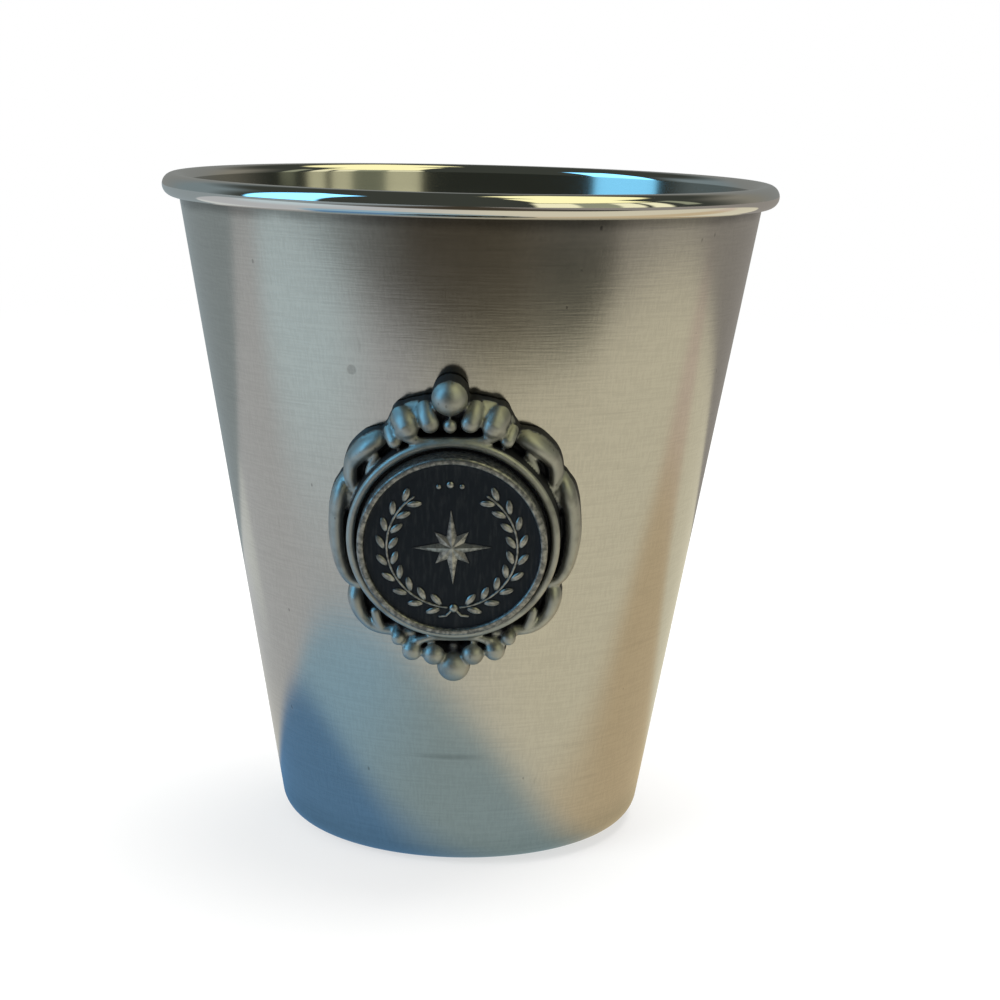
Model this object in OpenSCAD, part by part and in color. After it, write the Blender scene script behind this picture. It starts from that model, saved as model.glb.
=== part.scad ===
// Tapered metal shot cup with a rolled rim and a cast emblem bonded to its wall.
// The cup stands on z = 0 with its axis on Z, and the emblem faces -Y. All sizes are in millimetres.

/* [Cup] */
// Overall height
cup_h = 53.5; // [42:0.5:66]
// Outer diameter of the rolled rim
rim_d = 50; // [44:0.5:60]
// Diameter at which the outer wall line would meet the table
foot_d = 29.8; // [26:0.2:36]
// Thickness of the drawn sheet
sheet_t = 0.6; // [0.4:0.05:0.7]
// Outer radius of the corner between wall and floor
corner_r = 2; // [1.2:0.1:3]
// Diameter of the rolled bead at the rim
bead_d = 1.8; // [1.8:0.1:3]
// Gap left between the rolled edge and the wall
curl_gap = 0.2; // [0.1:0.05:0.3]
// Rise of the panel under the floor
panel_rise = 0.8; // [0.4:0.1:1.5]
// Width of the flat ring that the cup stands on
foot_w = 2.5; // [1.5:0.1:4]

/* [Emblem place] */
// Height of the emblem's centre on the wall
emblem_z = 28.4; // [24:0.2:32]
// Turn of the emblem from upright, to the viewer's left
emblem_turn = 2.5; // [-6:0.5:6]
// Thickness of the bond film on the wall
bond_t = 0.25; // [0.15:0.05:0.4]
// Diameter of the bond film on the wall
bond_d = 13; // [10:0.5:14]

/* [Disc] */
// Diameter of the disc
disc_d = 14; // [13:0.1:16]
// Thickness of the disc with its lip
disc_t = 2; // [1.6:0.1:2.6]
// Width of the raised lip
lip_w = 0.42; // [0.3:0.02:0.7]
// Height of the lip above the ground of the disc
lip_h = 0.3; // [0.15:0.05:0.5]
// Height of the raised design above the ground
relief_h = 0.2; // [0.1:0.05:0.4]
// Thickness of the bond film under the disc
disc_bond_t = 0.1; // [0.05:0.05:0.2]
// Width of the bare seat left round that film
disc_bond_inset = 0.7; // [0.4:0.1:1.5]
// Reach of the long points of the star
star_r = 2.9; // [2:0.1:3.2]
// Radius of the wreath
wreath_r = 4.8; // [4.5:0.1:5.2]
// Length of a wreath leaf
leaf_l = 1.25; // [0.9:0.05:1.4]
// Width of a wreath leaf
leaf_w = 0.46; // [0.3:0.02:0.6]

/* [Frame] */
// Height of the disc's seat above the wall
seat_h = 1.9; // [1.5:0.1:2.4]
// Clearance round the disc in its seat
seat_gap = 0.25; // [0.1:0.05:0.4]
// Height of the ring's crest above the seat
ring_rise = 0.8; // [0.6:0.1:1.2]
// Width of the ring round the seat
ring_w = 0.65; // [0.5:0.05:1]
// Radius to which the front of the frame bows back at its sides
bow_r = 22; // [18:1:60]
// Height of the pocket floor above the wall
pocket_h = 0.8; // [0.6:0.1:1.2]
// Radius of the ball at the top
top_ball_r = 1.35; // [1:0.05:1.6]
// Radius of the ball at the bottom
bottom_ball_r = 1.2; // [0.9:0.05:1.5]

/* [Hidden] */
$fn = 96;

// Cup profile: the wall's outer line runs from the foot to a tangent on the inside of the rolled bead
rim_r = rim_d / 2;
foot_r = foot_d / 2;
bead_r = bead_d / 2;
curl_r = bead_r - sheet_t;
bead_c = [rim_r - bead_r, cup_h - bead_r];
foot_to_bead = bead_c - [foot_r, 0];
wall_lean = atan2(foot_to_bead.x, foot_to_bead.y) - asin(curl_r / norm(foot_to_bead));
curl_start = 180 - wall_lean;
curl_end = curl_start - 360 + acos((curl_r - curl_gap) / bead_r);
corner_c = [wall_r(corner_r) - corner_r / cos(wall_lean), corner_r];
panel_r = corner_c.x - foot_w - panel_rise;
panel_shift = sheet_t * tan(22.5);

// Disc and seat
disc_r = disc_d / 2;
seat_r = disc_r + seat_gap;
ring_r = seat_r + ring_w / 2;
disc_back = seat_h + disc_bond_t;
ground_t = disc_t - lip_h;
ground_r = disc_r - lip_w;
sink = 0.1;
star_points = 8;
leaf_pairs = 9;
leaf_first = 163;
leaf_last = 38;
leaf_splay = 32;
leaf_spread = leaf_l * 0.36;

// Heights of the frame ornament above the wall plane
crest_h = 2.4;
scroll_h = 1.6;
side_h = 1.4;
skirt_h = -5;
tail_drop = 0.3;
bud_drop = 0.5;
garland_drop = 0.2;
leaf_rise = 0.6;
ball_rise = 0.2;
arch = 6;
steps = 3;
bead_facets = 16;

// Frame ornament: each key is [degrees from the top, distance out from the ring, half width, height]
// Distance and half width are in hundredths of the ring's radius
shoulder_scroll = [
    [33, 23, 9, scroll_h],
    [42, 22.5, 11, scroll_h],
    [51, 20.5, 10.5, scroll_h],
    [60, 16, 8, scroll_h],
    [65, 6.5, 6, scroll_h]
];
side_scroll = [
    [62, 20, 6, side_h],
    [74, 16, 7.5, side_h],
    [88, 14.5, 7.5, side_h],
    [102, 15, 7.5, side_h],
    [113, 17, 6.5, side_h],
    [119, 15, 5, side_h]
];
lower_scroll = [
    [122, 20, 5.5, scroll_h],
    [129, 27, 7.5, scroll_h],
    [137, 30, 8, scroll_h],
    [145, 24, 7, scroll_h],
    [152, 16, 5.5, scroll_h]
];
crest_curl = [
    [0, 2.5, 3.5, crest_h],
    [14, 4.5, 4, crest_h],
    [21, 12, 5.5, crest_h],
    [23, 22.5, 6.5, crest_h]
];
base_curl = [
    [180, 5.5, 3, crest_h - garland_drop],
    [168, 9, 3.5, crest_h - garland_drop],
    [162.5, 16.5, 5, crest_h - garland_drop]
];
crest_drop = [[9.5, 20.5, 8, crest_h], [11, 35.5, 6.5, crest_h - tail_drop]];
crest_lobe = [[18.5, 24.5, 9.5, crest_h], [21.5, 37.5, 8, crest_h - tail_drop]];
crest_bud = [[28.5, 12.5, 6.5, crest_h], [29, 29, 6, crest_h - bud_drop]];
shoulder_leaf = [[45, 8.5, 3, scroll_h + leaf_rise], [51, 4.5, 3.5, scroll_h + leaf_rise]];
lower_leaf = [[141, 10, 3, scroll_h + leaf_rise], [134, 6.5, 3.5, scroll_h + leaf_rise]];
base_bud = [[151.5, 22.5, 7, crest_h], [150, 14.5, 5.5, crest_h]];
base_lobe = [[161, 25, 10, crest_h], [160, 16, 7.5, crest_h]];
base_bead = [171, 23, 10, crest_h];
crest_pearl = [0, 16, 6.5, crest_h];
base_pearl = [180, 14, 6, crest_h];
top_ball = [0, 47, ring_share(top_ball_r), crest_h + ball_rise];
bottom_ball = [180, 34.5, ring_share(bottom_ball_r), crest_h];
scrolls = [shoulder_scroll, side_scroll, lower_scroll];
garlands = [crest_curl, base_curl];
lobes = [crest_drop, crest_lobe, crest_bud, shoulder_leaf, lower_leaf, base_bud, base_lobe];

function wall_r(z) = foot_r + z * tan(wall_lean);

function arc(c, r, from, to, n) = [
    for (i = [0:n]) let (a = from + (to - from) * i / n) c + r * [cos(a), sin(a)]
];

function unit(v) = v / norm(v);

function ring_share(r) = 100 * r / ring_r;

// Place of a key in the emblem's own frame: x to the right, y up, z out of the wall, then half width
function key_point(k) = let (
    reach = ring_r * (1 + k[1] / 100),
    x = reach * sin(k[0])
) [x, reach * cos(k[0]), k[3] - x * x / (2 * bow_r), ring_r * k[2] / 100];

function spline(a, b, c, d, t) = b + (c - a) * t / 2
    + (a - 2.5 * b + 2 * c - d / 2) * t * t
    + (1.5 * b - a / 2 - 1.5 * c + d / 2) * t * t * t;

// Smooth run of points through the keys
function spine(keys) = let (
    p = [for (k = keys) key_point(k)],
    last = len(p) - 1
) [
    for (i = [0:last - 1], j = [0:steps - 1])
        spline(p[max(i - 1, 0)], p[i], p[i + 1], p[min(i + 2, last)], j / steps),
    p[last]
];

// Keys of a run that crosses from one side to the other, from the half that starts on the centre line
function across(keys) = concat(
    [for (i = [len(keys) - 1:-1:1]) let (k = keys[i]) [-k[0], k[1], k[2], k[3]]],
    keys
);

// Points past one end of a run that close it with a round nose
function nose(tip, before) = let (
    flat = [tip.x - before.x, tip.y - before.y],
    ahead = unit(flat) * tip[3]
) [
    for (a = [40, 78])
        [tip.x + ahead.x * sin(a), tip.y + ahead.y * sin(a), tip.z, tip[3] * cos(a)]
];

function reversed(v) = [for (i = [len(v) - 1:-1:0]) v[i]];

function nosed(run) = let (last = len(run) - 1) concat(
    reversed(nose(run[0], run[1])),
    run,
    nose(run[last], run[last - 1])
);

// Arched section across a run, with straight flanks that go down into the wall
function section(run, i) = let (
    ahead = run[min(i + 1, len(run) - 1)] - run[max(i - 1, 0)],
    way = unit([ahead.x, ahead.y]),
    across = [way.y, -way.x] * run[i][3],
    c = run[i]
) concat(
    [
        for (j = [0:arch]) let (a = 180 * j / arch)
            [c.x + across.x * cos(a), c.y + across.y * cos(a), c.z + c[3] * sin(a)]
    ],
    [[c.x - across.x, c.y - across.y, skirt_h], [c.x + across.x, c.y + across.y, skirt_h]]
);

module scroll(keys) {
    run = nosed(spine(keys));
    n = arch + 3;
    rings = len(run);
    points = [for (i = [0:rings - 1]) each section(run, i)];
    sides = [
        for (i = [0:rings - 2], j = [0:n - 1]) let (
            a = i * n + j,
            b = i * n + (j + 1) % n
        ) each [[a, b, b + n], [a, b + n, a + n]]
    ];
    first_cap = [for (j = [n - 1:-1:0]) j];
    last_cap = [for (j = [0:n - 1]) (rings - 1) * n + j];
    polyhedron(points, concat(sides, [first_cap, last_cap]));
}

// Domed post at a key, down into the wall
module post(k) {
    p = key_point(k);
    dome = arc([0, p.z], p[3], 0, 90, bead_facets / 4);
    translate([p.x, p.y, 0])
        rotate_extrude($fn = bead_facets) polygon(concat([[0, skirt_h], [p[3], skirt_h]], dome));
}

module lobe(keys) {
    hull() {
        post(keys[0]);
        post(keys[1]);
    }
}

module paired() {
    for (m = [0, 1]) mirror([m, 0, 0]) children();
}

// Flat floor behind the pockets, held inside the given keys
module pocket_floor(keys) {
    hull() paired() for (k = keys) {
        p = key_point(k);
        translate([p.x, p.y, skirt_h]) cylinder(h = pocket_h - skirt_h, r = p[3] / 2, $fn = 12);
    }
}

module seat_ring() {
    rotate_extrude($fn = 64) polygon(concat(
        [[0, skirt_h], [0, seat_h], [seat_r, seat_h], [seat_r, seat_h + ring_rise / 2]],
        arc([ring_r, seat_h + ring_rise - ring_w / 2], ring_w / 2, 165, 0, 5),
        [[ring_r + ring_w / 2, skirt_h]]
    ));
}

// Frame of the emblem: origin on the wall, x to the right, y up the wall, z straight out of it
module on_wall() {
    translate([0, -wall_r(emblem_z), emblem_z])
        rotate([90 + wall_lean, 0, 0])
            rotate([0, 0, emblem_turn])
                children();
}

// Solid inside the cup's outer wall surface, grown outwards
module wall_cone(grow) {
    over = grow / cos(wall_lean);
    cylinder(h = cup_h, r1 = wall_r(0) + over, r2 = wall_r(cup_h) + over, $fn = 180);
}

// Eight-pointed star with long and short points
module star() {
    polygon([
        for (i = [0:2 * star_points - 1]) let (
            a = 180 * i / star_points,
            r = i % 2 == 1 ? star_r / 3 : (i % 4 == 0 ? star_r : star_r * 0.6)
        ) r * [sin(a), cos(a)]
    ]);
}

// Pointed leaf, its long axis on y
module leaf() {
    r = (leaf_l * leaf_l + leaf_w * leaf_w) / (4 * leaf_w);
    intersection() {
        translate([r - leaf_w / 2, 0]) circle(r);
        translate([leaf_w / 2 - r, 0]) circle(r);
    }
}

// Two leafy branches that rise from the bottom on either side
module wreath() {
    for (m = [0, 1], i = [0:leaf_pairs - 1], s = [-1, 1]) {
        a = leaf_first + (leaf_last - leaf_first) * i / (leaf_pairs - 1);
        mirror([m, 0])
            rotate(-a)
                translate([0, wreath_r + s * leaf_spread])
                    rotate(90 - s * leaf_splay)
                        leaf();
    }
}

module cup_shell() {
    color("silver")
        rotate_extrude() polygon(concat(
            [[0, panel_rise], [panel_r, panel_rise], [panel_r + panel_rise, 0]],
            arc(corner_c, corner_r, -90, -wall_lean, 12),
            arc(bead_c, curl_r, curl_start, curl_end, 24),
            arc(bead_c, bead_r, curl_end, curl_start, 32),
            arc(corner_c, corner_r - sheet_t, -wall_lean, -90, 12),
            [
                [panel_r + panel_rise - panel_shift, sheet_t],
                [panel_r - panel_shift, panel_rise + sheet_t],
                [0, panel_rise + sheet_t]
            ]
        ));
}

module emblem_adhesive() {
    color("wheat")
        difference() {
            intersection() {
                on_wall() translate([0, 0, skirt_h]) cylinder(h = seat_h - skirt_h, d = bond_d);
                wall_cone(bond_t);
            }
            wall_cone(0);
        }
}

module emblem_frame() {
    color("dimgray")
        difference() {
            on_wall() {
                seat_ring();
                paired() {
                    for (s = scrolls) scroll(s);
                    for (l = lobes) lobe(l);
                    post(base_bead);
                }
                for (g = garlands) scroll(across(g));
                for (k = [crest_pearl, base_pearl, top_ball, bottom_ball]) post(k);
                pocket_floor(concat(shoulder_scroll, side_scroll, lower_scroll));
                pocket_floor([crest_bud[0], crest_bud[1], crest_lobe[1], crest_drop[1]]);
                pocket_floor([base_bud[0], base_lobe[0], base_bead]);
            }
            wall_cone(bond_t);
        }
}

module disc_adhesive() {
    color("wheat")
        on_wall() translate([0, 0, seat_h]) cylinder(h = disc_bond_t, r = disc_r - disc_bond_inset);
}

module emblem_disc() {
    color("darkslategray")
        on_wall() translate([0, 0, disc_back]) {
            rotate_extrude() polygon([
                [0, 0], [disc_r, 0], [disc_r, disc_t], [ground_r, disc_t], [ground_r, ground_t], [0, ground_t]
            ]);
            translate([0, 0, ground_t - sink]) linear_extrude(relief_h + sink) {
                star();
                wreath();
            }
        }
}

cup_shell();
emblem_adhesive();
emblem_frame();
disc_adhesive();
emblem_disc();
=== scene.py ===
# Looks of a tapered metal shot glass with a rolled rim and a cast emblem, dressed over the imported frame.
import math

import bmesh
import bpy
import numpy as np
from mathutils import Matrix, Vector


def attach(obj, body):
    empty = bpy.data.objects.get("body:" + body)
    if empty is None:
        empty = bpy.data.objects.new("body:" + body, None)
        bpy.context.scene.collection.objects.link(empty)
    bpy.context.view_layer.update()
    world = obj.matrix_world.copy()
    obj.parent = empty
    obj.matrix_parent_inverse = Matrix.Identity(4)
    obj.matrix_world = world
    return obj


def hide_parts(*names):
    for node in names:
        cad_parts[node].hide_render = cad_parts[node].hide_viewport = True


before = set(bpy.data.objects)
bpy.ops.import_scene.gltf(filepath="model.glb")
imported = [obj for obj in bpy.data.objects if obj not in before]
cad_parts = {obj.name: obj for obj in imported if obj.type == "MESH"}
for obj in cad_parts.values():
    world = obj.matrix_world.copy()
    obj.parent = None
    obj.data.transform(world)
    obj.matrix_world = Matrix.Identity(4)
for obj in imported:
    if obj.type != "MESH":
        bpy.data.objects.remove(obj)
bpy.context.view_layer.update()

# Pieces are drawn in millimetres and scaled to metres at the end
MM = 0.001
TO_METRES = Matrix.Scale(MM, 4)
WELD = 1e-5

# Cup
CUP_H = 53.5
RIM_R = 25.0
FOOT_R = 14.9
SHEET = 0.6
CORNER_R = 2.0
BEAD_R = 0.9
CURL_GAP = 0.2
PANEL_RISE = 0.8
FOOT_W = 2.5
PANEL_SLOPE = 45
BEND_FAR = 0.2
BEND_NEAR = 0.1
BEND_DEPTH = 0.07
UNDER_RING = 0.6
FLOOR_RING = 0.5
WALL_STEPS = 30
CUP_SEGMENTS = 240
CUP_SHARP = 40
CURL_R = BEAD_R - SHEET
BEAD_AT = (RIM_R - BEAD_R, CUP_H - BEAD_R)
FOOT_TO_BEAD = (BEAD_AT[0] - FOOT_R, BEAD_AT[1])
LEAN = math.atan2(*FOOT_TO_BEAD) - math.asin(CURL_R / math.hypot(*FOOT_TO_BEAD))

# Finish of the cup's surfaces, from satin wall to mirror rim
SATIN = 0.0
SMOOTH = 0.35
MIRROR = 1.0

# Emblem place, disc and seat
EMBLEM_Z = 28.4
EMBLEM_TURN = 1.9
BOND = 0.25
DISC_R = 7.0
DISC_T = 2.0
LIP_W = 0.5
LIP_H = 0.3
DISC_BOND = 0.1
SEAT_H = 1.9
SEAT_GAP = 0.25
RING_RISE = 0.8
RING_W = 0.65
SEAT_R = DISC_R + SEAT_GAP
RING_R = SEAT_R + RING_W / 2
DISC_BACK = SEAT_H + DISC_BOND
GROUND_H = DISC_BACK + DISC_T - LIP_H
BOW_R = 22.0
POCKET_H = 0.8
LEG_SINK = 0.9
RING_SPAN = 165
RING_SEGMENTS = 160
CONE_SEGMENTS = 256
FLOOR_STEPS = 12
SKIN_VOXEL = 0.11
SKIN_ROUNDS = 2
ARCH_ROUND = 0.98

# Frame ornament: each key is degrees from the top, distance out from the ring, half width, height
# Distance and half width are in hundredths of the ring's radius
CREST_H = 2.25
SCROLL_H = 0.6
SIDE_H = 1.1
LOWER_H = 1.15
LEAF_H = 1.75
CREST_WEB_H = 0.9
CREST_FILL_H = 1.45
SIDE_WEB_H = 1.35
SIDE_DROP = 0.55
SCROLL_DROP = 0.4
TAIL_DROP = 0.9
END_RISE = 0.3
PART_WAY = 0.4
BUD_DROP = 0.65
GARLAND_DROP = 0.1
PEARL_DROP = 1.0
BALL_DROP = 0.5
BASE_SKEW = 0.022
SHOULDER_RISE = 2.0
BAND_RISE = 1.7
ROUND_RISE = 1.0
TOP_BALL_R = 1.34
BOTTOM_BALL_R = 1.26


def held(height, *places):
    """Keys held at one height."""
    return [(*place, height) for place in places]


SHOULDER_SCROLL = [
    (33.5, 17, 9.5, SCROLL_H - SCROLL_DROP),
    (38, 19.2, 11, SCROLL_H - SCROLL_DROP / 4),
    *held(
        SCROLL_H, (43, 20.7, 12), (50, 21.2, 10.8), (55.5, 19.3, 9), (61, 13.5, 8.8), (65.5, 6.5, 7.6),
    ),
]
SIDE_SCROLL = [
    (63.5, 18, 7, SIDE_H - SIDE_DROP),
    (69, 17.3, 9.6, SIDE_H - SIDE_DROP / 3),
    *held(
        SIDE_H, (75, 16.5, 10), (81, 16.2, 9.6), (93, 16.4, 9.2), (103, 17.2, 8.6), (111, 17.8, 8),
        (117, 16.2, 7), (121, 10.5, 5.4),
    ),
]
LOWER_SCROLL = [
    (123, 16, 8.5, LOWER_H - SCROLL_DROP),
    (126, 21.5, 9.2, LOWER_H - SCROLL_DROP / 4),
    *held(
        LOWER_H, (130, 26, 8.6), (134.5, 29.2, 7.6), (139.5, 29.4, 7.2), (144, 26.4, 7), (149, 20.6, 6.6),
    ),
    (153, 15.5, 6.2, LOWER_H + END_RISE / 2),
    (158.5, 10.5, 5, LOWER_H + END_RISE),
]
SIDE_WEB = held(SIDE_WEB_H, (69, 9, 6.5), (76.5, 8.5, 5.2))
CREST_CURL = held(CREST_H, (0, 2.5, 3.5), (14, 4.5, 4), (21, 12, 5.5), (23, 21, 6.5))
BASE_CURL = held(CREST_H - GARLAND_DROP, (180, 5.5, 3), (168, 8, 3.5), (162, 15.5, 5))
CREST_WEB = held(CREST_WEB_H, (0, 30, 11), (12, 30.5, 11), (21, 29, 11), (28.5, 20, 8))
CREST_DROP = [
    (9.2, 21, 9.4, CREST_H),
    (10, 27, 9.8, CREST_H - PART_WAY * TAIL_DROP),
    (10.2, 32, 10, CREST_H - TAIL_DROP),
]
CREST_LOBE = [
    (19.6, 22, 11.2, CREST_H),
    (20.2, 26.5, 11.8, CREST_H - PART_WAY * TAIL_DROP),
    (20.8, 30, 12, CREST_H - TAIL_DROP),
]
CREST_FILL = held(CREST_FILL_H, (13, 27, 9), (16, 26.5, 9), (25, 21, 8))
CREST_BUD = [
    (28.5, 13.4, 6.9, CREST_H),
    (28.7, 18.5, 6.3, CREST_H - PART_WAY * BUD_DROP),
    (28.9, 23.5, 5.6, CREST_H - BUD_DROP),
]
SHOULDER_LEAF = held(LEAF_H, (42, 10, 3.4), (47.5, 6.3, 4.2), (52, 3, 4.2))
LOWER_LEAF = held(LEAF_H, (143.5, 23, 4.2), (140, 19, 4.9), (136.8, 14.5, 5))
BASE_BUD = [(153, 20.5, 7.4, CREST_H), (151, 14.5, 5.5, CREST_H - TAIL_DROP)]
BASE_LOBE = [(161, 26.5, 10.4, CREST_H), (160.3, 17, 7.5, CREST_H - BUD_DROP)]
BASE_BEAD = (171, 24, 11.2, CREST_H)
CREST_PEARL = (0, 17, 7, CREST_H)
BASE_PEARL = (180, 19, 7, CREST_H - PEARL_DROP)
TOP_BALL = (0, 43.5, 100 * TOP_BALL_R / RING_R, CREST_H - BALL_DROP)
BOTTOM_BALL = (180, 37.3, 100 * BOTTOM_BALL_R / RING_R, CREST_H - BALL_DROP)
ROUND_RUNS = [
    SIDE_WEB, CREST_DROP, CREST_LOBE, CREST_FILL, CREST_BUD, SHOULDER_LEAF, LOWER_LEAF, BASE_BUD, BASE_LOBE,
]
PAIRED_RUNS = [(SHOULDER_SCROLL, SHOULDER_RISE), (SIDE_SCROLL, BAND_RISE), (LOWER_SCROLL, BAND_RISE)]
PAIRED_RUNS += [(run, ROUND_RISE) for run in ROUND_RUNS]
GARLANDS = [CREST_CURL, BASE_CURL, CREST_WEB]
RUN_STEPS = 7
NOSE_ANGLES = (22, 42, 60, 76, 86)

# Patina and painted shade of the frame: how much sky, lift and facing make its metal bright; the dark rest
# is patina in the hollows and painted shade on low, side-facing flanks
SKY_SECTORS = 16
SKY_STEPS = 8
OPEN_REACH = 1.2
OPEN_FROM = 0.2
OPEN_SPAN = 0.38
LIFT_FROM = 0.45
LIFT_SPAN = 0.4
EDGE_ON = 0.2
FACING_SPAN = 0.35
GRID_STEP = 0.15
GRID_HALF = 100
GRID_SLACK = 0.08

# Disc and its relief
DISC_SEGMENTS = 192
DISC_SHARP = 35
EDGE_BREAK = 0.1
LIP_OUT_R = 0.2
LIP_IN_R = 0.14
LIP_SLACK = 0.01
LIP_SPAN = 170
LIP_FILLET = [(0.05, 0.03), (0.12, 0), (0.5, 0)]
GROUND_RINGS = (0.75, 0.5, 0.25, 0)
RELIEF_H = 0.2
RELIEF_SINK = 0.08
STAR_R = 2.9
STAR_POINTS = 8
STAR_SHORT = 0.6
STAR_WAIST = 1 / 3
STAR_EDGE = 0.35
STAR_PEAK = 1.15
STAR_FLARE = 1.04
WREATH_R = 4.8
LEAF_L = 1.3
LEAF_W = 0.55
LEAF_PAIRS = 9
LEAF_FIRST = 163
LEAF_LAST = 38
LEAF_SPLAY = 32
LEAF_SPREAD = 0.36 * LEAF_L
LEAF_TAPER = 0.35
RIB_EDGE = (0.05, 0.3)
GROUND_WEAR = 0.05
WEAR_RISE = 0.8
LIP_WEAR = 0.55
SIDE_WEAR = 0.42
STEM_W = 0.1
STEM_ENDS = (174, 34)
STEM_STEPS = 40
FLAT_WALL_R = 1e6
TIE_AT = (0, -4.85)
TIE_W = 0.34
PEARL_FLAT = 0.75
RIBBON = [(0.15, -5.0), (0.55, -5.45), (1.05, -5.5)]
TOP_PEARLS = [(-0.85, 4.75, 0.2), (0, 4.9, 0.28), (0.85, 4.75, 0.2)]

# Camera fitted to the rim, foot and sides in the photograph
CAMERA_DIST = 170.58
CAMERA_HEIGHT = 61.52
CAMERA_PITCH = 0.2018
CAMERA_YAW = 0.0171
CAMERA_ROLL = 0.0232
CAMERA_SWING = 0.039
FOCAL_SHARE = 2.06612
SENSOR_W = 36.0
CAMERA_CLIP = (0.01, 20)

# Finishes
PEWTER = (0.60, 0.58, 0.535)
# Pewter of the inside and the rolled curl, painted darker than the wall: painted shade inside the cup
SHADED_INSIDE = (0.41, 0.405, 0.37)
POLISHED = (0.78, 0.76, 0.73)
PEWTER_SHADE = (0.14, 0.135, 0.125)
DENT_AT = (-7.72 * MM, -20.20 * MM, 40.28 * MM)
SCUFF_AT = (-0.3 * MM, -16.45 * MM, 9.45 * MM)
SCUFF_STRETCH = (0.095, 0.095, 1)
SCUFF_R = (0.06, 0.36)
DENT_R = (0.3, 0.45)
POLISH_EDGE = 0.5
SATIN_ROUGH = 0.15
MIRROR_ROUGH = 0.05
ROUGH_SPREAD = 0.08
LINED = (0.8, 1.2)
LINE_SHADE = 0.10
SCRATCHED = (0.68, 0.76)
SWEPT = (0.6, 0.74)
PIT_DEPTH = 2.0
SPECKED_ZONE = (0.04, 0.052)
SPECK_SHARE = (0.04, 0.42)
SPECK_STRETCH = (1, 1, 0.6)
SPECK_LEAST = 0.4
# Height band just under the rim bead that is painted dark: painted shade under the bead
UNDER_BEAD_SHADE_ZONE = (0.0506, 0.0517)
UNDER_BEAD_SHADE_RAGGED = 0.0012
RUBBED = (0.25, 0.75)
CAST_BRIGHT = (0.45, 0.46, 0.44)
CAST_BLACK = (0.012, 0.013, 0.015)
DISC_BRIGHT = (0.42, 0.425, 0.41)
DISC_BLACK = (0.010, 0.014, 0.020)
RESIN_DEEP = (0.58, 0.53, 0.42)
RESIN_PALE = (0.76, 0.72, 0.62)

# Stage, and what the metal mirrors
TABLE_LEFT = (0.53, 0.55, 0.57)
TABLE_RIGHT = (0.745, 0.70, 0.54)
TABLE_COOL = (0.60, 0.72, 0.77)
TABLE_TAN = (0.63, 0.51, 0.33)
TABLE_PINK = (0.69, 0.58, 0.475)
TABLE_BRIGHT = (0.66, 0.69, 0.68)
BEHIND_LEFT = (0.30, 0.35, 0.37)
BEHIND_RIGHT = (0.31, 0.29, 0.265)
FAR_DARK = (0.062, 0.052, 0.037)
FAR_SPOT = (0.012, 0.016, 0.014)
SHADOW_LIGHT_BLUE = (0.31, 0.49, 0.62)
SHADOW_TEAL = (0.31, 0.41, 0.44)
SHADOW_BLUE = (0.125, 0.26, 0.45)
CONTACT_SHADOW = (0.86, 0.88, 0.88)
ROOM_DARK = (0.05, 0.056, 0.047)
ROOM_LEFT = (0.21, 0.265, 0.285)
ROOM_RIGHT = (0.26, 0.25, 0.21)
ROOM_BACK = (0.24, 0.25, 0.24)
PANE_COOL = (0.6, 1.75, 2.8)
PANE_WARM = (1.08, 1.05, 0.72)
PANE_DIM = (0.33, 0.35, 0.25)
PANE_YELLOW = (1.3, 1.24, 0.68)
PANE_SOFT = 1.5
PANES = (
    ((-86, -54), (1, 58), PANE_COOL),
    ((25, 67), (1, 35), PANE_WARM),
    ((41, 57), (1, 35), PANE_DIM),
    ((70, 79), (1, 35), PANE_WARM),
    ((86, 94), (14, 42), PANE_DIM),
    ((28, 80), (38, 74), PANE_YELLOW),
    ((60, 170), (56, 84), PANE_YELLOW),
)
PAPER = (0.86, 0.86, 0.85, 1)
WHITE = (1, 1, 1, 1)
FLOOR_R = 4.0
FLOOR_Z = -0.0003
FLOOR_FADE = (0.06, 0.4)
FLOOR_WHITE = (0.62, 1.0)
SKY_LIGHT = 0.6
ROOM_R = 1.4
CARD_Z = -0.00015
DOME_CUT_Z = -0.01
SHEET_SEGMENTS = 128
LAMPS = (
    ("overhead_lamp", (0.1, 0.1, 0.7), 0.5, 6.0, (1.0, 0.98, 0.95)),
    ("side_lamp", (-0.5, -0.4, 0.4), 0.4, 3.0, (0.93, 0.97, 1.0)),
)


def wall_r(z):
    return FOOT_R + z * math.tan(LEAN)


def arc(centre, radius, start, end, count):
    angles = np.radians(np.linspace(start, end, count + 1))
    return [(centre[0] + radius * math.cos(a), centre[1] + radius * math.sin(a)) for a in angles]


def between(a, b, count):
    """Points from a to b, without either end."""
    return [tuple(p) for p in np.linspace(a, b, count + 2)[1:-1]]


# Mesh helpers

def new_object(name, data):
    obj = bpy.data.objects.new(name, data)
    bpy.context.scene.collection.objects.link(obj)
    return obj


def plain_mesh(name, verts, edges, faces):
    mesh = bpy.data.meshes.new(name)
    mesh.from_pydata(verts, edges, faces)
    return mesh


def poured(name, shape):
    """Mesh of a bmesh, which is freed."""
    mesh = bpy.data.meshes.new(name)
    shape.to_mesh(mesh)
    shape.free()
    return mesh


def tidy_normals(mesh):
    """Merges doubles and turns the faces outwards."""
    shape = bmesh.new()
    shape.from_mesh(mesh)
    bmesh.ops.remove_doubles(shape, verts=shape.verts, dist=WELD)
    bmesh.ops.recalc_face_normals(shape, faces=shape.faces)
    shape.to_mesh(mesh)
    shape.free()


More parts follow.
